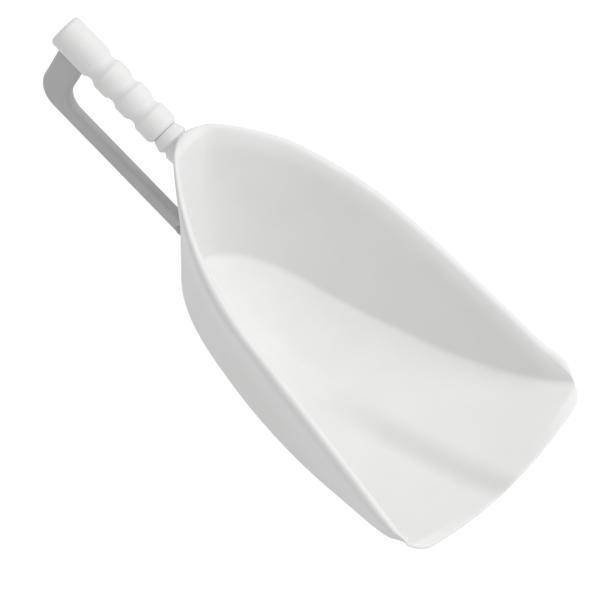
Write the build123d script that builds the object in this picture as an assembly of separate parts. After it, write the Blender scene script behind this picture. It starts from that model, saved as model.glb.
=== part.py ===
"""Feed scoop: a deep moulded bowl, a ring-grooved grip and a D-shaped hand guard.

Lengths are in millimetres.  +X points out of the mouth, +Z is up, and the scoop is
symmetric about the XZ plane.  The pieces are drawn with the grip's axis level, and are
then tipped back until the scoop stands on the flat under its keel and on the bend of
its guard.  The origin lies on the table under the middle of the overall length.
"""
import os
from math import cos, radians, sin, tan

from build123d import *

# Overall
HALF_LENGTH = 211.0          # rear end of the grip to the origin, and the origin to the lip
WALL = 3.0                   # wall of the bowl
LIP_WALL = 1.8               # floor at the lip
TAPER_X = (92.0, 211.0)      # where the floor starts and stops getting thinner
TILT = 5.7                   # how far the grip's rear end hangs down when the scoop stands, degrees

# Outlines of the bowl's outside, seen from above: x, y and heading of the side in degrees
UPPER_LEVEL = 106.0
UPPER_SIDE = [(-112.4, 0.0, 90.0), (-94.4, 30.4, 47.0), (-40.3, 68.0, 26.0), (26.0, 87.0, 6.6)]
UPPER_END = (225.0, 107.6, 6.3)
LOWER_LEVEL = -2.0
LOWER_SIDE = [(-34.0, 0.0, 90.0), (-25.0, 21.6, 47.0), (26.0, 46.2, 16.0)]
LOWER_SIDE_INSIDE = [(-28.0, 0.0, 90.0), (-20.0, 21.0, 47.0), (26.0, 46.2, 16.0)]
LOWER_END = (225.0, 77.0, 3.2)

# Rim line in side view: x, z
RIM_LINE = [(-111.0, 102.0), (40.0, 103.8), (197.0, 92.6)]

# Floor: a flat keel strip with a panel rising on each side of it, both in side view: x, z
STRIP_HALF = 12.0            # half the width of the strip
PANEL_Y = 112.0              # distance from the middle at which the panel line is given
KEEL_LINE = [(-60.0, 21.0), (-7.0, 10.0), (26.0, 5.5), (59.0, 8.5), (92.0, 20.0), (158.0, 49.7),
             (191.0, 69.6), (225.0, 95.5)]
PANEL_LINE = [(-60.0, 25.0), (-7.0, 38.0), (26.0, 44.0), (59.0, 45.0), (92.0, 46.0), (158.0, 70.0),
              (186.0, 89.5), (225.0, 115.0)]
CREASE_R = 5.0               # inside radius between wall and floor

# Lip
LIP_R = 418.0                # plan radius of the lip
LIP_CORNER_R = 15.0
LIP_SIDE = (100.3, 97.0)     # half width of the mouth outline at the lip and 60 mm behind it

# Handle
AXIS_Z = 86.0                # grip axis above the table
GRIP_R = 12.3
GRIP_FRONT_X = -115.4
GROOVE_R = 6.4               # section radius of a finger groove
GROOVE_DEPTH = 2.0
GROOVE_X = (-174.5, -154.4, -135.2)
GROOVE_EDGE_R = 3.0
GRIP_REAR_R = 3.4
GRIP_FRONT_R = 4.2

# Neck of the bowl that carries the grip
NECK_R = 10.6
NECK_INSIDE_X = -84.0
NECK_EDGE_R = 1.0
NECK_GROOVE_X = -104.8
NECK_GROOVE_R = 1.6          # section radius of the ring round the neck
NECK_GROOVE_OUT = 1.0        # how far outside the neck the ring's section is centred
SPIGOT_R = 7.5
SPIGOT_FLAT = 6.0
SPIGOT_LENGTH = 6.0
SLIP = 0.1                   # clearance all round between pieces that slide together

# Hand guard
GUARD_T = 8.0                # thickness across the scoop
GUARD_EDGE_R = 3.6
BAR_Z = (23.8, 37.6)         # underside and top of the lower bar
LEG_TOP_Z = 78.0
LEG_OUTER_X = (-204.8, -197.6)   # outer side of the leg at its top and at the bar's underside
LEG_INNER_X = (-182.8, -178.4)
OUTER_BEND_R = 19.0
INNER_BEND_R = 14.0
HEAD_X = (-203.0, -181.6)    # block on top of the leg, inside the grip
HEAD_HALF_Y = 6.0
HEAD_Z = (76.0, 93.5)
FORK_RAKE_X = (-64.4, -53.6)     # raked end of the bar at its top and underside
FORK_SLOT_X = -66.8
FORK_GAP = 3.6

# Rib on the back of the bowl
RIB_T = 3.2
RIB_REAR_X = -66.2
RIB_FRONT_X = (-49.0, -40.0)     # ends inside the nose wall at the rib's top and underside
RIB_Z = (25.2, 36.2)

# Fasteners
RIVET_X, RIVET_Z = -62.6, 29.6
RIVET_R = 2.0
RIVET_HEAD_R = 3.8
RIVET_HEAD_H = 1.6
BOLT_R = 3.0
BOLT_HOLE_R = 3.3
BOLT_HEAD_R = 5.5
BOLT_HEAD_H = 3.8
BOLT_HEAD_EDGE_R = 0.6
BOLT_TIP_X = -109.0
BOLT_SOCKET_FLATS = 5.0
BOLT_SOCKET_DEPTH = 2.4
WASHER_R = 7.0
WASHER_T = 1.2
INSERT_R = 4.5
INSERT_LENGTH = 13.0
INSERT_BORE_R = 3.05
INSERT_RINGS = (0.3, 0.7)    # places of the two rings along the insert, as shares of its length
INSERT_RING_HALF = 0.6
INSERT_RING_DEPTH = 0.5

# Rear pocket of the grip and its plug
POCKET_R = 7.6
PLUG_T = 2.0
PLUG_TONGUE_LENGTH = 5.8

# Cutting shapes
REACH = 260.0                # farther out than any piece
PAST = 1.0                   # how far a cut runs past a face
SIDE_RUN = 60.0              # length of the side behind the mouth's corner


def inset_point(x, y, heading, inset):
    """Move an outline point inwards, square to its heading."""
    a = radians(heading)
    return (x + inset * sin(a), y - inset * cos(a))


def plan_face(side, end, level, inset):
    """Closed plan outline of the walls at one level."""
    pts = [inset_point(x, y, h, inset) for x, y, h in side]
    last = inset_point(*end, inset)
    turn = radians(side[-1][2])
    curve = Spline(pts, tangents=[(0, 1), (cos(turn), sin(turn))])
    mouth = Spline([pts[-1], last], tangents=[(cos(turn), sin(turn)), (1, tan(radians(end[2])))])
    across = Line(last, (last[0], -last[1]))
    outline = Curve() + [curve, mouth, across, mirror(mouth, Plane.XZ), mirror(curve, Plane.XZ)]
    return Pos(0, 0, level) * make_face(outline.edges())


def wall_envelope(lower_side, inset):
    """Everything between the leaning side walls."""
    lower = plan_face(lower_side, LOWER_END, LOWER_LEVEL - inset, inset)
    upper = plan_face(UPPER_SIDE, UPPER_END, UPPER_LEVEL, inset)
    return loft([lower, upper], ruled=True)


def thickness(x):
    """Thickness of the floor at a distance along the scoop."""
    share = min(max((x - TAPER_X[0]) / (TAPER_X[1] - TAPER_X[0]), 0), 1)
    return WALL + share * (LIP_WALL - WALL)


def above_line(line, y, outer):
    """Face in the plane at y that holds everything above a floor line."""
    pts = [(x, z - outer * thickness(x)) for x, z in line]
    (back_x, back_z), (front_x, front_z) = pts[0], pts[-1]
    walls = Polyline((front_x, front_z), (front_x, REACH), (-REACH, REACH), (-REACH, back_z),
                     (back_x, back_z))
    face = make_face((Curve() + [Spline(pts), walls]).edges())
    return Plane(origin=(0, y, 0), x_dir=(1, 0, 0), z_dir=(0, -1, 0)) * face


def above_floor(outer):
    """Everything above the floor's strip and its two panels, inside or outside surface."""
    keel = above_line(KEEL_LINE, STRIP_HALF, outer)
    edge = above_line(PANEL_LINE, PANEL_Y, outer)
    panel = loft([keel, edge], ruled=True)
    middle = extrude(keel, amount=2 * STRIP_HALF, dir=(0, -1, 0))
    return middle + panel + mirror(panel, Plane.XZ)


def bend_centre():
    """Centre of the guard's outer bend in side view."""
    top_x, low_x = LEG_OUTER_X
    run, rise = low_x - top_x, LEG_TOP_Z - BAR_Z[0]
    length = (run ** 2 + rise ** 2) ** 0.5
    return (low_x + OUTER_BEND_R * (length - run) / rise, BAR_Z[0] + OUTER_BEND_R)


def seat():
    """Location that sets the drawn pieces down on the table."""
    x, z = bend_centre()
    a = radians(TILT)
    table = z * cos(a) + x * sin(a) - OUTER_BEND_R
    return Pos(0, 0, -table) * Rot(0, -TILT, 0)


def above_table():
    """Everything above the table, in the frame the pieces are drawn in."""
    return seat().inverse() * Pos(0, 0, REACH) * Box(4 * REACH, 2 * REACH, 2 * REACH)


def prism_xz(points, half_y):
    """Polygon in side view, as thick as twice half_y."""
    face = Plane.XZ * make_face(Polyline(*points, close=True))
    return extrude(face, amount=half_y, both=True)


def rod(x0, x1, radius):
    """Cylinder along the grip axis."""
    return Pos((x0 + x1) / 2, 0, AXIS_Z) * Rot(0, 90, 0) * Cylinder(radius, x1 - x0)


def block(x, y_half, z):
    """Box between two x and two z values, centred across the scoop."""
    size = (x[1] - x[0], 2 * y_half, z[1] - z[0])
    return Pos((x[0] + x[1]) / 2, 0, (z[0] + z[1]) / 2) * Box(*size)


def below_rim():
    """Everything under the rim line."""
    line = ThreePointArc(*RIM_LINE)
    back, front = line @ 0, line @ 1
    slope = line % 1
    ahead = (REACH, front.Y + (REACH - front.X) * slope.Y / slope.X)
    box = Polyline(ahead, (REACH, -REACH), (-REACH, -REACH), (-REACH, back.Y), back)
    face = Plane.XZ * make_face((Curve() + [line, Line(front, ahead), box]).edges())
    return extrude(face, amount=REACH, both=True)


def mouth_outline():
    """Prism whose front end is the curved lip with rounded corners."""
    side_lip, side_back = LIP_SIDE
    corner_x = HALF_LENGTH - LIP_R + (LIP_R ** 2 - side_lip ** 2) ** 0.5
    lip = ThreePointArc((corner_x, -side_lip), (HALF_LENGTH, 0), (corner_x, side_lip))
    back_x = corner_x - SIDE_RUN
    box = Polyline((corner_x, side_lip), (back_x, side_back), (back_x, REACH), (-REACH, REACH),
                   (-REACH, -REACH), (back_x, -REACH), (back_x, -side_back), (corner_x, -side_lip))
    face = make_face((Curve() + [lip, box]).edges())
    corners = [v for v in face.vertices() if v.X > corner_x - PAST]
    return extrude(fillet(corners, LIP_CORNER_R), amount=REACH)


def crease_edges(solid):
    """Edges where the side walls and the nose meet the floor."""
    near, rim_band = 0.2, 10.0
    found = []
    for edge in solid.edges():
        a, m = edge @ 0.1, edge @ 0.5
        on_strip = max(abs(abs(a.Y) - STRIP_HALF), abs(abs(m.Y) - STRIP_HALF)) < near
        on_cut = m.Z > UPPER_LEVEL - rim_band or m.X > UPPER_END[0] - PAST
        if not (on_strip or on_cut):
            found.append(edge)
    return found


def rivet_hole():
    """Hole across the fork and the rib."""
    return Pos(RIVET_X, 0, RIVET_Z) * Rot(90, 0, 0) * Cylinder(RIVET_R + SLIP, 5 * RIVET_HEAD_R)


def rings_of(solid):
    """Round edges of a turned piece."""
    return [e for e in solid.edges() if e.geom_type == GeomType.CIRCLE]


def rings_at(solid, x):
    """Round edges in the plane square to the grip at x."""
    near = 1.0
    return [e for e in rings_of(solid) if abs(e.center().X - x) < near]


def make_neck():
    """Ringed neck on the nose with the flat-sided spigot that enters the grip."""
    neck = fillet(rod(GRIP_FRONT_X, NECK_INSIDE_X, NECK_R).edges(), NECK_EDGE_R)
    ring = Torus(NECK_R + NECK_GROOVE_OUT, NECK_GROOVE_R)
    neck -= Pos(NECK_GROOVE_X, 0, AXIS_Z) * Rot(0, 90, 0) * ring
    spigot = rod(GRIP_FRONT_X - SPIGOT_LENGTH, GRIP_FRONT_X + 2 * PAST, SPIGOT_R)
    return neck, spigot & block((-REACH, 0), SPIGOT_FLAT, (0, REACH))


def make_rib():
    """Plate behind the nose that the guard's fork straddles."""
    low, high = RIB_Z
    return prism_xz([(RIB_REAR_X, low), (RIB_REAR_X, high), (RIB_FRONT_X[0], high),
                     (RIB_FRONT_X[1], low)], RIB_T / 2)


def make_bowl():
    """Bowl shell with its neck, spigot and rear rib."""
    outside = wall_envelope(LOWER_SIDE, 0) & above_floor(1)
    outside = fillet(crease_edges(outside), CREASE_R + WALL)
    inside = wall_envelope(LOWER_SIDE_INSIDE, WALL) & above_floor(0)
    inside = fillet(crease_edges(inside), CREASE_R)
    outside = outside & mouth_outline() & below_rim() & above_table()
    neck, spigot = make_neck()
    bowl = outside + neck + make_rib() - inside
    bowl += spigot
    hole_end = GRIP_FRONT_X - SPIGOT_LENGTH
    bowl -= rod(hole_end - PAST, hole_end + INSERT_LENGTH, INSERT_R + SLIP / 2)
    return bowl - rivet_hole()


def make_grip():
    """Ring-grooved grip with its bolt hole, rear pocket and front recess."""
    front_x = GRIP_FRONT_X - SLIP
    grip = rod(-HALF_LENGTH, front_x, GRIP_R)
    for x in GROOVE_X:
        ring = Torus(GRIP_R - GROOVE_DEPTH + GROOVE_R, GROOVE_R)
        grip -= Pos(x, 0, AXIS_Z) * Rot(0, 90, 0) * ring
    ends = rings_at(grip, -HALF_LENGTH) + rings_at(grip, front_x)
    grip = fillet([e for e in rings_of(grip) if e not in ends], GROOVE_EDGE_R)
    grip = fillet(rings_at(grip, -HALF_LENGTH), GRIP_REAR_R)
    grip = fillet(rings_at(grip, front_x), GRIP_FRONT_R)
    grip -= rod(-HALF_LENGTH - PAST, 0, BOLT_HOLE_R)
    grip -= rod(-HALF_LENGTH - PAST, HEAD_X[0], POCKET_R)
    grip -= block((-HALF_LENGTH - PAST, HEAD_X[1] + SLIP), HEAD_HALF_Y + SLIP, (0, HEAD_Z[1] + SLIP))
    recess = rod(GRIP_FRONT_X - SPIGOT_LENGTH - 2 * SLIP, 0, SPIGOT_R + SLIP)
    return grip - (recess & block((-REACH, 0), SPIGOT_FLAT + SLIP, (0, REACH)))


def make_plug():
    """Plug that closes the grip's rear pocket and the slot the guard's block goes in through."""
    top, half = HEAD_Z[1] - AXIS_Z, HEAD_HALF_Y - SLIP
    end = Plane((-HALF_LENGTH, 0, AXIS_Z), x_dir=(0, 1, 0), z_dir=(1, 0, 0))
    slot = Pos(0, (top - GRIP_R) / 2) * Rectangle(2 * half, top + GRIP_R)
    plate = extrude(end * (Circle(POCKET_R - SLIP) + slot), amount=PLUG_T)
    tongue = block((-HALF_LENGTH + PLUG_T / 2, -HALF_LENGTH + PLUG_TONGUE_LENGTH), half,
                   (0, AXIS_Z - POCKET_R + SLIP))
    body = rod(-HALF_LENGTH, -HALF_LENGTH + 2 * PLUG_TONGUE_LENGTH, GRIP_R)
    body = fillet(rings_at(body, -HALF_LENGTH), GRIP_REAR_R)
    return (plate + tongue) & body


def corners_at(face, x):
    """Corners of a flat face at x."""
    near = 0.1
    return [v for v in face.vertices() if abs(v.X - x) < near]


def guard_outline():
    """Side view of the guard's leg, bend and lower bar."""
    under, top = BAR_Z
    outline = Polyline((LEG_OUTER_X[0], LEG_TOP_Z), (LEG_OUTER_X[1], under), (FORK_RAKE_X[1], under),
                       (FORK_RAKE_X[0], top), (LEG_INNER_X[1], top), (LEG_INNER_X[0], LEG_TOP_Z),
                       close=True)
    face = make_face(outline)
    face = fillet(corners_at(face, LEG_OUTER_X[1]), OUTER_BEND_R)
    return fillet(corners_at(face, LEG_INNER_X[1]), INNER_BEND_R)


def make_guard():
    """Flat D-shaped guard with a forked end, and the block on top of its leg."""
    guard = extrude(Plane.XZ * guard_outline(), amount=GUARD_T / 2, both=True)
    near, overlap = 0.01, 0.5
    sides = [f for f in guard.faces() if abs(f.center().Y) > GUARD_T / 2 - near]
    guard = fillet([e for f in sides for e in f.edges()], GUARD_EDGE_R)
    guard &= block((-REACH, 0), REACH, (0, HEAD_Z[0] + overlap))
    guard += block(HEAD_X, HEAD_HALF_Y, HEAD_Z)
    guard -= rod(-REACH, HEAD_X[1] + PAST, BOLT_HOLE_R)
    guard -= block((FORK_SLOT_X, 0), FORK_GAP / 2, (0, LEG_TOP_Z))
    return guard - rivet_hole()


def make_rivet():
    """Domed rivet through the fork and the rib."""
    half = GUARD_T / 2 + SLIP
    shank = Cylinder(RIVET_R, 2 * (half + SLIP))
    dome_r = (RIVET_HEAD_R ** 2 + RIVET_HEAD_H ** 2) / (2 * RIVET_HEAD_H)
    dome = Pos(0, 0, half + RIVET_HEAD_H - dome_r) * Sphere(dome_r)
    head = dome & Pos(0, 0, half + dome_r) * Box(4 * dome_r, 4 * dome_r, 2 * dome_r)
    return Pos(RIVET_X, 0, RIVET_Z) * Rot(90, 0, 0) * (shank + head + mirror(head, Plane.XY))


def make_bolt():
    """Socket-head bolt that ties the guard and the grip to the neck."""
    bearing_x = HEAD_X[0] - WASHER_T - SLIP
    head = rod(bearing_x - BOLT_HEAD_H, bearing_x, BOLT_HEAD_R)
    head = fillet(rings_at(head, bearing_x - BOLT_HEAD_H), BOLT_HEAD_EDGE_R)
    socket = extrude(RegularPolygon(BOLT_SOCKET_FLATS / 2, 6, major_radius=False), BOLT_SOCKET_DEPTH)
    head -= Pos(bearing_x - BOLT_HEAD_H, 0, AXIS_Z) * Rot(0, 90, 0) * socket
    return head + rod(bearing_x - PAST, BOLT_TIP_X, BOLT_R)


def make_washer():
    """Flat washer under the bolt head."""
    start = HEAD_X[0] - WASHER_T - SLIP / 2
    return rod(start, start + WASHER_T, WASHER_R) - rod(start - PAST, start + WASHER_T + PAST, BOLT_HOLE_R)


def make_insert():
    """Threaded insert moulded into the neck."""
    start = GRIP_FRONT_X - SPIGOT_LENGTH
    tube = rod(start, start + INSERT_LENGTH - SLIP, INSERT_R)
    for share in INSERT_RINGS:
        x = start + share * INSERT_LENGTH
        ring = rod(x - INSERT_RING_HALF, x + INSERT_RING_HALF, INSERT_R + PAST)
        tube -= ring - rod(start - PAST, 0, INSERT_R - INSERT_RING_DEPTH)
    return tube - rod(start - PAST, 0, INSERT_BORE_R)


PIECES = {
    "bowl": make_bowl,
    "grip": make_grip,
    "hand_guard": make_guard,
    "end_plug": make_plug,
    "tie_bolt": make_bolt,
    "tie_washer": make_washer,
    "neck_insert": make_insert,
    "fork_rivet": make_rivet,
}

os.makedirs("parts", exist_ok=True)
made = {name: seat() * make() for name, make in PIECES.items()}
ends = Compound(list(made.values())).bounding_box()
for name, piece in made.items():
    piece = Pos(-(ends.min.X + ends.max.X) / 2, 0, 0) * piece
    piece.label = name
    export_step(piece, f"parts/{name}.step")
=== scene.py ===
"""Feed scoop: looks, floor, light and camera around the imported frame.  Lengths are in metres."""
import math

import bmesh
import bpy
import numpy as np
from mathutils import Matrix, Vector


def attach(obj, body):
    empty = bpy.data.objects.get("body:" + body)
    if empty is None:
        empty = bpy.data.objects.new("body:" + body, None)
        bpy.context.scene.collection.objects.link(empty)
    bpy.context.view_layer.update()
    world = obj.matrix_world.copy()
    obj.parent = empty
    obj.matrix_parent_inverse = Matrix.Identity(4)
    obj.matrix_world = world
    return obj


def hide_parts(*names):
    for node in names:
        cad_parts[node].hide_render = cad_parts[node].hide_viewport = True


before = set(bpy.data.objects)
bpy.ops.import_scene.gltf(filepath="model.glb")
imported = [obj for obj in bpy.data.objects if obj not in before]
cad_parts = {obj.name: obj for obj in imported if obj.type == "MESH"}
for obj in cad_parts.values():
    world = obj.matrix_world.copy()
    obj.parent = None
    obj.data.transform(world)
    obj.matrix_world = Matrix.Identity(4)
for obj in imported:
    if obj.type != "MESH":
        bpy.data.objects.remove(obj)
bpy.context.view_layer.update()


# ---------------------------------------------------------------- materials
NOISE_ROUGH, NOISE_RANGE = 0.55, (0.3, 0.7)   # the noise's usual values lie in this range
SHEEN_FINER, METAL_SHEEN_FINER = 3.1, 2.3     # scale of the sheen's noise over the tint's
GRAIN_SCALE, GRAIN_DEPTH = 1500.0, 0.0002
MARK_SCALE, MARK_DEPTH = 900.0, 0.0001
PLASTIC_IOR, PLASTIC_SPECULAR = 1.48, 0.15
# colour of the painted shade along the middle of the bowl's floor
PAINTED_SHADE_TONE = (0.50, 0.50, 0.495, 1)


def new_material(name):
    """Empty node material with a Principled shader on its output."""
    mat = bpy.data.materials.new(name)
    mat.use_nodes = True
    tree = mat.node_tree
    tree.nodes.clear()
    out = tree.nodes.new("ShaderNodeOutputMaterial")
    shader = tree.nodes.new("ShaderNodeBsdfPrincipled")
    tree.links.new(shader.outputs["BSDF"], out.inputs["Surface"])
    return mat, tree, shader


def noise(tree, scale, detail=3.0):
    """Noise texture in object space."""
    coord = tree.nodes.new("ShaderNodeTexCoord")
    node = tree.nodes.new("ShaderNodeTexNoise")
    node.inputs["Scale"].default_value = scale
    node.inputs["Detail"].default_value = detail
    node.inputs["Roughness"].default_value = NOISE_ROUGH
    tree.links.new(coord.outputs["Object"], node.inputs["Vector"])
    return node


def ramp(tree, source, low, high):
    """Map noise to a colour between two."""
    node = tree.nodes.new("ShaderNodeValToRGB")
    ends = node.color_ramp.elements
    ends[0].position, ends[1].position = NOISE_RANGE
    ends[0].color, ends[1].color = (*low, 1), (*high, 1)
    tree.links.new(source, node.inputs["Fac"])
    return node


def spread(tree, source, low, high):
    """Map noise to a range of values."""
    node = tree.nodes.new("ShaderNodeMapRange")
    node.inputs["From Min"].default_value = NOISE_RANGE[0]
    node.inputs["From Max"].default_value = NOISE_RANGE[1]
    node.inputs["To Min"].default_value = low
    node.inputs["To Max"].default_value = high
    tree.links.new(source, node.inputs["Value"])
    return node


def plastic(name, low, high, rough, bump, mottle=38.0):
    """Satin moulded plastic with faint mottle, uneven sheen and fine moulded grain."""
    mat, tree, shader = new_material(name)
    cloud = noise(tree, mottle, 4.0)
    tint = ramp(tree, cloud.outputs["Fac"], low, high)
    tree.links.new(tint.outputs["Color"], shader.inputs["Base Color"])
    sheen = spread(tree, noise(tree, mottle * SHEEN_FINER).outputs["Fac"], *rough)
    tree.links.new(sheen.outputs["Result"], shader.inputs["Roughness"])
    grain = tree.nodes.new("ShaderNodeBump")
    grain.inputs["Strength"].default_value = bump
    grain.inputs["Distance"].default_value = GRAIN_DEPTH
    tree.links.new(noise(tree, GRAIN_SCALE, 2.0).outputs["Fac"], grain.inputs["Height"])
    tree.links.new(grain.outputs["Normal"], shader.inputs["Normal"])
    shader.inputs["IOR"].default_value = PLASTIC_IOR
    shader.inputs["Specular IOR Level"].default_value = PLASTIC_SPECULAR
    return mat


def painted_shade_strip(mat, half, start, full, share):
    """Paint shade into a band of the base colour: full on the middle line, gone at half to the side
    and before start.
    """
    tree = mat.node_tree
    shader = next(n for n in tree.nodes if n.type == "BSDF_PRINCIPLED")
    base = shader.inputs["Base Color"].links[0].from_socket
    coord = tree.nodes.new("ShaderNodeTexCoord")
    split = tree.nodes.new("ShaderNodeSeparateXYZ")
    tree.links.new(coord.outputs["Object"], split.inputs["Vector"])
    side = tree.nodes.new("ShaderNodeMath")
    side.operation = "ABSOLUTE"
    tree.links.new(split.outputs["Y"], side.inputs[0])
    bands = []
    ramps = ((side.outputs["Value"], half, 0.0), (split.outputs["X"], start, full))
    for source, low, high in ramps:
        band = tree.nodes.new("ShaderNodeMapRange")
        band.interpolation_type = "SMOOTHSTEP"
        band.inputs["From Min"].default_value = low
        band.inputs["From Max"].default_value = high
        tree.links.new(source, band.inputs["Value"])
        bands.append(band.outputs["Result"])
    both = tree.nodes.new("ShaderNodeMath")
    both.operation = "MULTIPLY"
    tree.links.new(bands[0], both.inputs[0])
    tree.links.new(bands[1], both.inputs[1])
    amount = tree.nodes.new("ShaderNodeMath")
    amount.operation = "MULTIPLY"
    amount.inputs[1].default_value = share
    tree.links.new(both.outputs["Value"], amount.inputs[0])
    mix = tree.nodes.new("ShaderNodeMix")
    mix.data_type = "RGBA"
    tree.links.new(amount.outputs["Value"], mix.inputs["Factor"])
    tree.links.new(base, mix.inputs["A"])
    mix.inputs["B"].default_value = PAINTED_SHADE_TONE
    tree.links.new(mix.outputs["Result"], shader.inputs["Base Color"])


def metal(name, low, high, rough, mottle, bump):
    """Bare metal with faint staining, uneven polish and fine turning marks."""
    mat, tree, shader = new_material(name)
    tint = ramp(tree, noise(tree, mottle, 4.0).outputs["Fac"], low, high)
    tree.links.new(tint.outputs["Color"], shader.inputs["Base Color"])
    sheen = spread(tree, noise(tree, mottle * METAL_SHEEN_FINER).outputs["Fac"], *rough)
    tree.links.new(sheen.outputs["Result"], shader.inputs["Roughness"])
    shader.inputs["Metallic"].default_value = 1.0
    marks = tree.nodes.new("ShaderNodeBump")
    marks.inputs["Strength"].default_value = bump
    marks.inputs["Distance"].default_value = MARK_DEPTH
    tree.links.new(noise(tree, MARK_SCALE, 2.0).outputs["Fac"], marks.inputs["Height"])
    tree.links.new(marks.outputs["Normal"], shader.inputs["Normal"])
    return mat


BOWL = plastic("bowl_plastic", (0.735, 0.735, 0.73), (0.755, 0.755, 0.75), (0.50, 0.60), 0.10)
# painted shade: the floor's middle strip is darkened in its colour, standing in for shade from the
# light
painted_shade_strip(BOWL, half=0.020, start=0.075, full=0.150, share=0.42)
GRIP = plastic("grip_plastic", (0.735, 0.735, 0.73), (0.76, 0.76, 0.755), (0.36, 0.46), 0.12)
GUARD = plastic("guard_plastic", (0.455, 0.459, 0.455), (0.490, 0.494, 0.490), (0.42, 0.52), 0.15)
STEEL = metal("zinc_steel", (0.50, 0.51, 0.53), (0.62, 0.63, 0.65), (0.28, 0.42), 120.0, 0.15)
BRASS = metal("brass", (0.60, 0.45, 0.20), (0.74, 0.58, 0.28), (0.25, 0.40), 120.0, 0.12)
RIVET_PAINT = plastic("rivet_paint", (0.35, 0.354, 0.35), (0.39, 0.394, 0.39), (0.35, 0.48), 0.08,
                      mottle=90.0)
LOOKS = {"bowl": BOWL, "grip": GRIP, "end_plug": GRIP, "hand_guard": GUARD, "tie_bolt": STEEL,
         "tie_washer": STEEL, "neck_insert": BRASS, "fork_rivet": RIVET_PAINT}

for name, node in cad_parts.items():
    for slot in node.material_slots:
        slot.material = LOOKS[name]

# ---------------------------------------------------------------- bowl
# The bowl is drawn with the grip's axis level, in millimetres, and then set down as in the frame.
UPPER_Z, LOWER_Z = 106.0, -2.0
UPPER_SIDE = [(-111.2, 0.0, 90.0), (-93.2, 29.4, 47.0), (-39.9, 66.6, 26.0), (26.0, 86.0, 6.6)]
UPPER_END = (225.0, 107.6, 6.4)
LOWER_SIDE = [(-28.0, 0.0, 90.0), (-20.0, 21.0, 47.0), (26.0, 46.2, 16.0)]
LOWER_SIDE_OUT = [(-36.5, 0.0, 90.0), (-27.0, 22.4, 47.0), (26.0, 46.2, 16.0)]
LOWER_END = (225.0, 77.0, 3.2)
RIM_LINE = [(-111.0, 102.0), (40.0, 103.8), (197.0, 92.6)]
KEEL_LINE = [(-60, 21), (-7, 10), (26, 5.5), (59, 8.5), (92, 20), (158, 49.7), (191, 69.6),
             (225, 95.5)]
PANEL_LINE = [(-60, 25), (-7, 38), (26, 44), (59, 45), (92, 46), (158, 70), (186, 89.5),
              (225, 115)]
STRIP_HALF, STRIP_SOFT, PANEL_Y = 12.0, 5.0, 112.0
WALL, LIP_WALL, TAPER_X = 3.0, 1.8, (92.0, 211.0)
ROLL_OUT, ROLL_FADE, ROLL_DROP = 4.8, 50.0, 5.0
ROLL_NOSE, ROLL_NOSE_X = 0.2, (-105.0, -10.0)
FLARE, FLARE_DEPTH, FLARE_INSET, FLARE_FADE_X = 4.2, 14.0, 3.0, (160.0, 209.0)
NOSE_RIM_X, NOSE_LEAN, NOSE_SOFT = -98.9, 0.70, 3.0
LIP_X, LIP_R, LIP_HALF, CORNER_R = 211.0, 418.0, 97.0, 15.0
CREASE_R = 4.8
EDGE_WALL = 1.2                  # least height of wall left under the rim at the mouth's corner
CAP_SHAPE, CAP_MOST = 0.7, 4.6   # height of the rounded edge: share of the wall, and limit
EDGE_STEP = 2.0                  # how far to each side the edge's direction is read
SQUARE_X = (150.0, 185.0)        # where the rounded edge changes over to the lip's build
THIN_RANGE = (19.0, 4.0)         # distances from the mouth's corner where the wall thins
LIP_BEND_X = (110.0, 211.0)      # where the rows across take up the lip's arc
RIM_SPAN, CREASE_SPAN = (60, 104), (-6, 110)   # where rim and crease are looked for in height
SPINE_START_X = -37.5            # about the back of the crease
ARC_LIMIT_Y = 120.0              # the lip's arc is not asked for beyond this
CREASE_WALL, CREASE_FLOOR = 0.7, 0.5     # share of wall and floor the crease's bend may take
PROBE_UP, PROBE_IN = 4.0, 0.93   # where the slopes beside the crease are read
TILT = math.radians(5.7)
SEAT_X, SEAT_Z = 8.777, -5.62
TURN_X = 26.0                    # where the outline's back part ends and the mouth part starts
MOUTH_RUN = UPPER_END[0] - TURN_X


def cubic(knots, values, start=None, end=None):
    """Smooth curve through values at knots, as a function; an end without a slope is free."""
    t, p = np.asarray(knots, float), np.asarray(values, float).reshape(len(knots), -1)
    n, h = len(t), np.diff(t)
    rows, right = np.zeros((n, n)), np.zeros_like(p)
    chord = np.diff(p, axis=0) / h[:, None]
    for i in range(1, n - 1):
        rows[i, i - 1:i + 2] = h[i], 2 * (h[i - 1] + h[i]), h[i - 1]
        right[i] = 3 * (h[i] * chord[i - 1] + h[i - 1] * chord[i])
    rows[0, :2], right[0] = ((2, 1), 3 * chord[0]) if start is None else ((1, 0), start)
    rows[-1, -2:], right[-1] = ((1, 2), 3 * chord[-1]) if end is None else ((0, 1), end)
    slope = np.linalg.solve(rows, right)

    def at(x):
        x = np.asarray(x, float)
        i = np.clip(np.searchsorted(t, x, side="right") - 1, 0, n - 2)
        s = ((x - t[i]) / h[i])[..., None]
        step = h[i][..., None]
        a = (1 + 2 * s) * (1 - s) ** 2 * p[i] + s * (1 - s) ** 2 * step * slope[i]
        b = s ** 2 * (3 - 2 * s) * p[i + 1] + s ** 2 * (s - 1) * step * slope[i + 1]
        return a + b
    return at


def smooth(x, low, high):
    """0 below low, 1 above high, smooth between."""
    s = np.clip((np.asarray(x, float) - low) / (high - low), 0, 1)
    return s * s * (3 - 2 * s)


def unit(rows):
    """Rows scaled to length one."""
    return rows / np.linalg.norm(rows, axis=1)[:, None]


def soft_max(a, b, width):
    """The larger of two values, rounded over where they cross."""
    return (a + b + np.sqrt((a - b) ** 2 + width ** 2)) / 2


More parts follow.
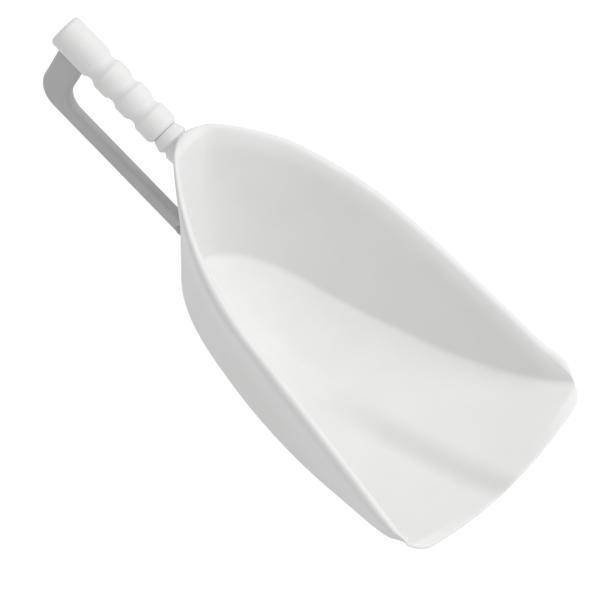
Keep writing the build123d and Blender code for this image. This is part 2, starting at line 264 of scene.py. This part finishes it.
def outline(side, end, inset):
    """Plan outline of a wall level: shares 0 to 1 run round the back, 1 to 2 along the mouth."""
    def moved(x, y, heading):
        a = math.radians(heading)
        return (x + inset * math.sin(a), y - inset * math.cos(a))
    pts = np.array([moved(*p) for p in side])
    last = np.array(moved(*end))
    turn, out = math.radians(side[-1][2]), math.radians(end[2])
    heading = np.array((math.cos(turn), math.sin(turn)))
    chords = np.concatenate([[0], np.cumsum(np.linalg.norm(np.diff(pts, axis=0), axis=1))])
    back = cubic(chords, pts, (0, 1), heading)
    run = np.linalg.norm(last - pts[-1])
    mouth = cubic([0, run], [pts[-1], last], heading, (math.cos(out), math.sin(out)))
    return lambda w: np.where((w <= 1)[:, None], back(np.clip(w, 0, 1) * chords[-1]),
                              mouth((np.clip(w, 1, 2) - 1) * run))


def line(points):
    """Height along the scoop as a smooth function of x."""
    f = cubic([p[0] for p in points], [p[1] for p in points])
    return lambda x: f(x)[..., 0]


def circle_height(points):
    """Height along a circular arc through three points in side view."""
    (ax, az), (bx, bz), (cx, cz) = points
    d = 2 * (ax * (bz - cz) + bx * (cz - az) + cx * (az - bz))
    a2, b2, c2 = ax * ax + az * az, bx * bx + bz * bz, cx * cx + cz * cz
    ux = (a2 * (bz - cz) + b2 * (cz - az) + c2 * (az - bz)) / d
    uz = (a2 * (cx - bx) + b2 * (ax - cx) + c2 * (bx - ax)) / d
    r = math.hypot(ax - ux, az - uz)
    return lambda x: uz + np.sqrt(r * r - (x - ux) ** 2)


KEEL, PANEL, RIM = line(KEEL_LINE), line(PANEL_LINE), circle_height(RIM_LINE)
OUTER = (outline(LOWER_SIDE_OUT, LOWER_END, 0.0), outline(UPPER_SIDE, UPPER_END, 0.0))
INNER = (outline(LOWER_SIDE, LOWER_END, WALL), outline(UPPER_SIDE, UPPER_END, WALL))


def lip_x(y):
    """Front edge of the lip at a distance from the middle."""
    return LIP_X - LIP_R + np.sqrt(LIP_R ** 2 - y ** 2)


def floor_height(x, y, outer):
    """Inside or underside of the floor: a flat strip with a panel rising beside it."""
    rise = soft_max(np.abs(y) - STRIP_HALF, 0, STRIP_SOFT) - soft_max(-STRIP_HALF, 0, STRIP_SOFT)
    lift = (PANEL(x) - KEEL(x)) / (PANEL_Y - STRIP_HALF) * rise
    thick = WALL + taper_share(x) * (LIP_WALL - WALL)
    return KEEL(x) + lift - outer * thick


def taper_share(x):
    """How far the floor has thinned towards the lip: 0 at the full wall, 1 at the lip."""
    return np.clip((x - TAPER_X[0]) / (TAPER_X[1] - TAPER_X[0]), 0, 1)


def roll_share(x):
    """How full the rim's roll is along the scoop: slight round the nose, gone at the lip."""
    nose = ROLL_NOSE + (1 - ROLL_NOSE) * smooth(x, *ROLL_NOSE_X)
    return nose * (1 - smooth(x, *FLARE_FADE_X))


def wall_point(w, z, outer):
    """Point of the side wall on ruling w at height z; it curls outwards just under the rim."""
    def on(pair, low_z):
        low, high = pair[0](w), pair[1](w)
        t = ((z - low_z) / (UPPER_Z - low_z))[:, None]
        return low + (high - low) * t
    outside, inside = on(OUTER, LOWER_Z), on(INNER, LOWER_Z - WALL)
    out = unit(outside - inside)
    below = RIM(outside[:, 0]) - z
    depth = np.clip(below / FLARE_DEPTH, 0, 1)
    pull = FLARE_INSET * (z - LOWER_Z) / (UPPER_Z - LOWER_Z)
    rolled = 1 - smooth(outside[:, 0], *FLARE_FADE_X)
    if outer:
        fade = smooth(below, 0, ROLL_FADE)
        roll = ROLL_OUT * (1 - fade) * roll_share(outside[:, 0])
        return np.c_[outside + out * (roll - pull * fade * rolled)[:, None], z]
    curl = (FLARE * (1 - depth) ** 2 - pull) * rolled
    inside = inside + out * curl[:, None]
    strip = NOSE_RIM_X + (RIM_LINE[0][1] - z) * NOSE_LEAN
    x = inside[:, 0]
    inside[:, 0] = np.where(x < 0, soft_max(x, strip, NOSE_SOFT), x)
    return np.c_[inside, z]


WALL_ROWS, BEND_ROWS, FLOOR_ROWS, CAP_ROWS = 26, 10, 26, 14
WALL_EASE, FLOOR_EASE = 1.25, 1.1   # above 1 crowds the rows that come first
BACK_EASE = 1.15                 # above 1 crowds the stations that come last
BACK_STATIONS, SIDE_STATIONS, LIP_STATIONS = 96, 62, 13
SIDE_END_X, LIP_START_X, LIP_GAP = 196, 198, 1.3
NOSE_SPINE = -22.0


def stations():
    """Ruling of each station and its position along the scoop measured on the middle line."""
    back = 1 - np.linspace(1, 0, BACK_STATIONS) ** BACK_EASE
    place = np.concatenate([np.linspace(TURN_X, SIDE_END_X, SIDE_STATIONS)[1:],
                            np.linspace(LIP_START_X, LIP_X - LIP_GAP, LIP_STATIONS)])
    bend = smooth(place, *LIP_BEND_X)
    at_rim = place - (LIP_X - lip_x(LIP_HALF)) * bend
    w = np.concatenate([back, 1 + (at_rim - TURN_X) / MOUTH_RUN])
    return w, np.concatenate([np.full(len(back), np.nan), place])


def solve_height(w, low, high, gap):
    """Height on each ruling where gap(point) changes sign, by bisection."""
    low, high = np.full(len(w), float(low)), np.full(len(w), float(high))
    for _ in range(40):
        middle = (low + high) / 2
        above = gap(middle)
        high, low = np.where(above, middle, high), np.where(above, low, middle)
    return (low + high) / 2


def side_heights(w, outer):
    """Heights on each ruling of the wall's top, under the rounded edge, and of the crease."""
    def over_rim(z):
        p = wall_point(w, z, outer)
        return z > RIM(p[:, 0])

    def over_floor(z):
        p = wall_point(w, z, outer)
        return z > floor_height(p[:, 0], p[:, 1], outer)

    rim_z = solve_height(w, *RIM_SPAN, over_rim)
    crease_z = solve_height(w, *CREASE_SPAN, over_floor)
    o, i = wall_point(w, rim_z, True), wall_point(w, rim_z, False)
    cap = np.minimum(CAP_SHAPE * np.linalg.norm(o[:, :2] - i[:, :2], axis=1), CAP_MOST)
    at_lip = smooth(o[:, 0], *SQUARE_X)
    cap = cap * (1 - at_lip) + CAP_SHAPE * LIP_WALL * at_lip
    if outer:
        cap = cap + ROLL_DROP * roll_share(o[:, 0])
    top_z = rim_z - cap
    return top_z, np.minimum(crease_z, top_z - EDGE_WALL - (LIP_WALL if outer else 0))


def sections(outer):
    """Grid of points: stations by rows, each station from the rim down to the middle line."""
    w, place = stations()
    top_z, crease_z = side_heights(w, outer)
    corner = wall_point(w, crease_z, outer)
    corner_floor = floor_height(corner[:, 0], corner[:, 1], outer)
    drop = corner_floor - crease_z   # how far the floor is pulled down to stay under the rim

    share = np.clip((corner[:, 0] - SPINE_START_X) / (TURN_X - SPINE_START_X), 0, 1)
    spine_x = np.where(np.isnan(place), NOSE_SPINE + (TURN_X - NOSE_SPINE) * share, place)
    bend = np.where(np.isnan(place), 0, smooth(np.nan_to_num(place), *LIP_BEND_X))

    def across(y):
        """Place along the scoop at y of the row that starts at spine_x."""
        return spine_x - (LIP_X - lip_x(np.minimum(y, ARC_LIMIT_Y))) * bend

    def floor_point(s):
        """Point of the floor: s is 1 at the wall and 0 on the middle line."""
        y = corner[:, 1] * s
        straight = spine_x + (corner[:, 0] - spine_x) * s
        off = corner[:, 0] - across(corner[:, 1])
        x = np.where(np.isnan(place), straight, across(y) + off * s)
        z = floor_height(x, y, outer) - drop * s ** 3
        return np.c_[x, y, z]

    radius = CREASE_R + (WALL if outer else 0)
    wall_run = np.linalg.norm(wall_point(w, top_z, outer) - corner, axis=1)
    floor_run = np.linalg.norm(floor_point(0.0) - corner, axis=1)
    up = unit(wall_point(w, crease_z + np.minimum(PROBE_UP, top_z - crease_z), outer) - corner)
    out = unit(floor_point(PROBE_IN) - corner)
    turn = math.pi - np.arccos(np.clip((up * out).sum(1), -1, 1))
    most = np.minimum(CREASE_WALL * wall_run, CREASE_FLOOR * floor_run)
    reach = np.minimum(radius * np.tan(turn / 2), most)
    bend_top = crease_z + reach * up[:, 2]
    bend_low = 1 - reach / floor_run
    rows = []
    for k in range(WALL_ROWS):
        s = (k / WALL_ROWS) ** WALL_EASE
        rows.append(wall_point(w, top_z + (bend_top - top_z) * s, outer))
    start, finish = wall_point(w, bend_top, outer), floor_point(bend_low)
    for k in range(BEND_ROWS):
        s = k / BEND_ROWS
        rows.append((1 - s) ** 2 * start + 2 * s * (1 - s) * corner + s * s * finish)
    for k in range(FLOOR_ROWS + 1):
        s = 1 - (k / FLOOR_ROWS) ** FLOOR_EASE
        rows.append(floor_point(bend_low * s))
    grid = np.stack(rows, axis=1)
    grid[0, :, 1] = 0.0
    grid[:, -1, 1] = 0.0
    return round_corner(grid, spine_x)


def round_corner(grid, place):
    """Slide the grid inside itself so that the mouth's corner is round."""
    run = np.concatenate([np.zeros((len(grid), 1)),
                          np.cumsum(np.linalg.norm(np.diff(grid, axis=1), axis=2), axis=1)], axis=1)
    done = grid.copy()
    for i in np.nonzero(place > place[-1] - CORNER_R)[0]:
        for j in np.nonzero(run[i] < CORNER_R)[0]:
            u = 1 - (place[-1] - place[i]) / CORNER_R
            v = 1 - run[i, j] / CORNER_R
            a = place[-1] - CORNER_R * (1 - u * math.sqrt(1 - v * v / 2))
            q = CORNER_R * (1 - v * math.sqrt(1 - u * u / 2))
            m = min(int(np.searchsorted(place, a, side="right")) - 1, len(place) - 2)
            t = (a - place[m]) / (place[m + 1] - place[m])
            ends = [np.array([np.interp(q, run[k], grid[k, :, c]) for c in range(3)])
                    for k in (m, m + 1)]
            done[i, j] = ends[0] * (1 - t) + ends[1] * t
    return done


def even(rows, reach=5):
    """Directions along an edge averaged with their neighbours, mirrored past both ends."""
    flip = np.array((1, -1, 1))
    padded = np.concatenate([rows[reach:0:-1] * flip, rows, rows[-2:-reach - 2:-1] * flip])
    return unit(sum(padded[k:k + len(rows)] for k in range(2 * reach + 1)))


def cap_rows(inner, outer, inner_below, outer_below):
    """Rounded edge between the two boundaries, leaving each along its own surface."""
    middle, h = (inner + outer) / 2, (outer - inner) / 2
    half = np.linalg.norm(h, axis=1)[:, None]
    run = np.concatenate([[0], np.cumsum(np.linalg.norm(np.diff(middle, axis=0), axis=1))])

    def place(s):
        return np.stack([np.interp(s, run, middle[:, c]) for c in range(3)], axis=1)
    along = unit(place(run + EDGE_STEP) - place(run - EDGE_STEP))
    along[[0, -1]] = (0, 1, 0), (0, -1, 0)
    square = unit(np.cross(along, h))

    def leaving(edge, below):
        ray = edge - below
        return unit(ray - along * (ray * along).sum(1)[:, None])
    share = smooth(inner[:, 0], *SQUARE_X)[:, None]
    up_in = even(unit(leaving(inner, inner_below) * (1 - share) + square * share))
    up_out = even(unit(leaving(outer, outer_below) * (1 - share) + square * share))
    rise = np.minimum(2 * CAP_SHAPE * half, CAP_MOST)
    rows = []
    for k in range(1, CAP_ROWS):
        a = math.pi * k / CAP_ROWS
        up = unit(up_in * (1 - k / CAP_ROWS) + up_out * k / CAP_ROWS)
        rows.append(middle - h * math.cos(a) + up * rise * math.sin(a))
    return rows


def to_frame(points):
    """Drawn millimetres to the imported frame's metres."""
    c, s = math.cos(TILT), math.sin(TILT)
    x, y, z = points[:, 0], points[:, 1], points[:, 2]
    return np.c_[c * x - s * z + SEAT_X, y, c * z + s * x + SEAT_Z] / 1000


MERGE = 1e-6                     # points closer than this become one


class Net:
    """Points and faces of one piece."""

    def __init__(self):
        self.points, self.faces = [], []

    def add_grid(self, grid, flip=False, wrap=False):
        """Quads over a rows-by-columns array of points; wrap joins the last column to the first."""
        n, m = grid.shape[:2]
        base = len(self.points)
        self.points.extend(grid.reshape(-1, 3))
        for i in range(n - 1):
            for j in range(m if wrap else m - 1):
                k = (j + 1) % m
                near, far = base + i * m, base + (i + 1) * m
                quad = [near + j, near + k, far + k, far + j]
                self.faces.append(quad[::-1] if flip else quad)

    def mesh(self, name, mirror_y=False):
        """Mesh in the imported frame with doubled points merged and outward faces."""
        pts = to_frame(np.array(self.points))
        pts[:, 2] = np.maximum(pts[:, 2], 0.0)   # the keel is flat where it rests
        mesh = bpy.data.meshes.new(name)
        mesh.from_pydata(pts.tolist(), [], self.faces)
        bm = bmesh.new()
        bm.from_mesh(mesh)
        if mirror_y:
            everything = bm.verts[:] + bm.edges[:] + bm.faces[:]
            bmesh.ops.mirror(bm, geom=everything, axis="Y", merge_dist=MERGE)
        bmesh.ops.remove_doubles(bm, verts=bm.verts, dist=MERGE)
        bmesh.ops.dissolve_degenerate(bm, dist=MERGE, edges=bm.edges)
        bmesh.ops.recalc_face_normals(bm, faces=bm.faces)
        bm.to_mesh(mesh)
        bm.free()
        return mesh


def bowl_shell():
    """Half shell: inside, outside and the rounded edge between them."""
    inner, outer = sections(False), sections(True)
    gap = np.linalg.norm(inner - inner[-1, 0], axis=2)
    thin = (1 - smooth(gap, THIN_RANGE[1], THIN_RANGE[0]))[..., None]
    outer = outer * (1 - thin) + (inner - (0, 0, LIP_WALL)) * thin
    net = Net()
    net.add_grid(inner)
    net.add_grid(outer, flip=True)
    edge_in = np.concatenate([inner[:, 0], inner[-1, 1:]])
    edge_out = np.concatenate([outer[:, 0], outer[-1, 1:]])
    below_in = np.concatenate([inner[:-1, 1], [inner[-2, 1]], inner[-2, 1:]])
    below_out = np.concatenate([outer[:-1, 1], [outer[-2, 1]], outer[-2, 1:]])
    strips = [edge_in] + cap_rows(edge_in, edge_out, below_in, below_out) + [edge_out]
    net.add_grid(np.stack(strips))
    return net


AXIS_Z = 86.0
NECK_PROFILE = [(-115.4, 9.3), (-113.6, 10.1), (-111, 10.9), (-108.8, 11.4), (-107.2, 11.0),
                (-106.1, 9.8), (-105.0, 9.2), (-103.9, 9.8), (-102.7, 10.8), (-101, 11.0),
                (-97, 10.6), (-80, 10.4)]
NECK_FACE_R, NECK_FACE_STEP = (0.05, 5.0, 8.8), (0.15, 9.2)   # rear face, and its broken edge
NECK_START, NOSE_PROBE_X = 0.5, -98.0
NECK_COLUMNS, NECK_ROWS, FLARE_ROWS = 72, 40, 8
FLARE_LOW, FLARE_TOP = 3.6, 1.8  # size of the flare under and beside the neck, and on top
SINK, SINK_TOP = 0.35, 3.4       # how far it runs into the nose, and how much more on top
SINK_RANGE = (0.3, 1.0)          # where that more sets in: sine of the angle round the neck
RIB_SIDE = [(-66.2, 25.2), (-66.2, 36.2), (-58.6, 36.2), (-51.6, 25.2)]
RIB_HALF, RIB_EDGE = 1.6, 0.0006  # half thickness in mm, rounding in m
NECK_MEETS_Z = 97.5              # above this the nose is taken at this height


def nose_x(y, z):
    """Where a line along the scoop at y and z meets the outside of the nose."""
    w = np.linspace(0, 0.5, 160)
    level = wall_point(w, np.full(len(w), min(z, NECK_MEETS_Z)), True)
    return float(np.interp(abs(y), level[:, 1], level[:, 0]))


def add_neck(net):
    """Ringed neck from the grip to the nose, with a flare where it meets the nose."""
    knots = [p[0] for p in NECK_PROFILE]
    radius = cubic(knots, [p[1] for p in NECK_PROFILE])
    probe = radius(NOSE_PROBE_X)[0]
    edge_step, edge_r = NECK_FACE_STEP
    columns = []
    for k in range(NECK_COLUMNS):
        a = 2 * math.pi * k / NECK_COLUMNS
        side, up = math.cos(a), math.sin(a)
        flare = FLARE_LOW - (FLARE_LOW - FLARE_TOP) * max(up, 0) ** 2
        end = nose_x(probe * side, AXIS_Z + probe * up) - flare
        base = float(radius(end)[0])
        sink = SINK + SINK_TOP * float(smooth(up, *SINK_RANGE))
        path = [(knots[0], r) for r in NECK_FACE_R] + [(knots[0] + edge_step, edge_r)]
        for x in np.linspace(knots[0] + NECK_START, end, NECK_ROWS):
            path.append((x, float(radius(x)[0])))
        for m in range(1, FLARE_ROWS + 1):
            t = math.pi / 2 * m / FLARE_ROWS
            r = base + flare * (1 - math.cos(t))
            meet = nose_x(r * side, AXIS_Z + r * up)
            x = meet - flare * (1 - math.sin(t)) + sink * (m / FLARE_ROWS) ** 3
            path.append((x, r))
        columns.append([(x, r * side, AXIS_Z + r * up) for x, r in path])
    net.add_grid(np.array(columns).transpose(1, 0, 2), wrap=True)


def rib():
    """Mesh of the small plate behind the nose that the guard's fork straddles."""
    bm = bmesh.new()
    rows = []
    for y in (-RIB_HALF, RIB_HALF):
        pts = to_frame(np.array([(x, y, z) for x, z in RIB_SIDE]))
        rows.append([bm.verts.new(p) for p in pts])
    bm.faces.new(rows[0][::-1])
    bm.faces.new(rows[1])
    for i in range(len(RIB_SIDE)):
        k = (i + 1) % len(RIB_SIDE)
        bm.faces.new((rows[0][i], rows[0][k], rows[1][k], rows[1][i]))
    bmesh.ops.bevel(bm, geom=bm.edges[:], offset=RIB_EDGE, segments=3, affect="EDGES")
    bmesh.ops.recalc_face_normals(bm, faces=bm.faces)
    mesh = bpy.data.meshes.new("rib")
    bm.to_mesh(mesh)
    bm.free()
    return mesh


def joined(meshes, name):
    """One smooth-shaded object from a list of meshes, linked to the scene."""
    bm = bmesh.new()
    for piece in meshes:
        bm.from_mesh(piece)
    mesh = bpy.data.meshes.new(name)
    bm.to_mesh(mesh)
    bm.free()
    mesh.materials.append(BOWL)
    mesh.polygons.foreach_set("use_smooth", [True] * len(mesh.polygons))
    obj = bpy.data.objects.new(name, mesh)
    bpy.context.scene.collection.objects.link(obj)
    return obj


neck = Net()
add_neck(neck)
shell = bowl_shell().mesh("shell", mirror_y=True)
bowl = joined([shell, neck.mesh("neck"), rib()], "scoop_bowl")
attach(bowl, "root")
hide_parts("bowl")


# ---------------------------------------------------------------- stage
FLOOR_SIZE, FLOOR_COLOUR, FLOOR_GLOW = 12, 0.28, 0.86
SKY_LOW, SKY_SIDE, SKY_TOP = 0.80, 0.65, 0.55
SKY_EDGE = (0.46, 0.54)          # the horizon's band, as a share of the way from below to above

floor_mat, floor_tree, floor_shader = new_material("floor")
floor_shader.inputs["Base Color"].default_value = (FLOOR_COLOUR, FLOOR_COLOUR, FLOOR_COLOUR, 1)
floor_shader.inputs["Roughness"].default_value = 1.0
floor_shader.inputs["Specular IOR Level"].default_value = 0.0
floor_shader.inputs["Emission Color"].default_value = (1, 1, 1, 1)
floor_shader.inputs["Emission Strength"].default_value = FLOOR_GLOW
bpy.ops.mesh.primitive_plane_add(size=FLOOR_SIZE)
floor = bpy.context.object
floor.name = "floor"
floor.data.materials.append(floor_mat)
floor.visible_diffuse = False

scene = bpy.context.scene
scene.view_settings.view_transform = "Standard"
scene.view_settings.look = "None"


def studio_sky():
    """White surroundings: bright below like a lit floor, softer at the sides and above."""
    world = bpy.data.worlds.new("studio")
    world.use_nodes = True
    tree = world.node_tree
    coord = tree.nodes.new("ShaderNodeTexCoord")
    split = tree.nodes.new("ShaderNodeSeparateXYZ")
    tree.links.new(coord.outputs["Generated"], split.inputs["Vector"])
    shade = tree.nodes.new("ShaderNodeValToRGB")
    height = tree.nodes.new("ShaderNodeMapRange")
    height.inputs["From Min"].default_value = -1.0
    tree.links.new(split.outputs["Z"], height.inputs["Value"])
    tree.links.new(height.outputs["Result"], shade.inputs["Fac"])
    ends = shade.color_ramp.elements
    ends[0].position, ends[0].color = SKY_EDGE[0], (SKY_LOW, SKY_LOW, SKY_LOW, 1)
    ends[1].position, ends[1].color = 1.0, (SKY_TOP, SKY_TOP, SKY_TOP, 1)
    side = ends.new(SKY_EDGE[1])
    side.color = (SKY_SIDE, SKY_SIDE, SKY_SIDE, 1)
    tree.links.new(shade.outputs["Color"], tree.nodes["Background"].inputs["Color"])
    return world


scene.world = studio_sky()


def area_light(name, place, target, size, power):
    """Square soft light."""
    data = bpy.data.lights.new(name, "AREA")
    data.shape = "SQUARE"
    data.size = size
    data.energy = power
    lamp = bpy.data.objects.new(name, data)
    lamp.location = place
    lamp.rotation_mode = "QUATERNION"
    lamp.rotation_quaternion = (Vector(place) - Vector(target)).to_track_quat("Z", "Y")
    scene.collection.objects.link(lamp)


area_light("overhead", place=(0.1, 0.3, 1.6), target=(0, 0, 0), size=1.8, power=20.5)

# ---------------------------------------------------------------- camera
ROLL = math.radians(45.8)
TARGET = Vector((0.02836, 0.0, 0.06134))
LOOK = Vector((0.0783, 0.6157, -0.7841)).normalized()
RIGHT = Vector((0.99506, 0.0, 0.09932))
UP = RIGHT.cross(LOOK).normalized()
FRAME_WIDTH = 0.396
DISTANCE = 9.0
SENSOR = 36.0

AZIMUTH = math.radians(1.6)      # last turn, fitted to the outline
ROLL_PER_AZIMUTH = 0.788         # about the sine of the camera's elevation

cam_data = bpy.data.cameras.new("camera")
cam_data.sensor_width = SENSOR
cam_data.lens = SENSOR * DISTANCE / FRAME_WIDTH
camera = bpy.data.objects.new("camera", cam_data)
swing = Matrix.Rotation(AZIMUTH, 3, "Z")
LOOK, RIGHT, UP = swing @ LOOK, swing @ RIGHT, swing @ UP
ROLL -= AZIMUTH * ROLL_PER_AZIMUTH
across = RIGHT * math.cos(ROLL) + UP * math.sin(ROLL)
above = UP * math.cos(ROLL) - RIGHT * math.sin(ROLL)
turn = Matrix((across, above, -LOOK)).transposed()
camera.matrix_world = Matrix.Translation(TARGET - LOOK * DISTANCE) @ turn.to_4x4()
scene.collection.objects.link(camera)
scene.camera = camera
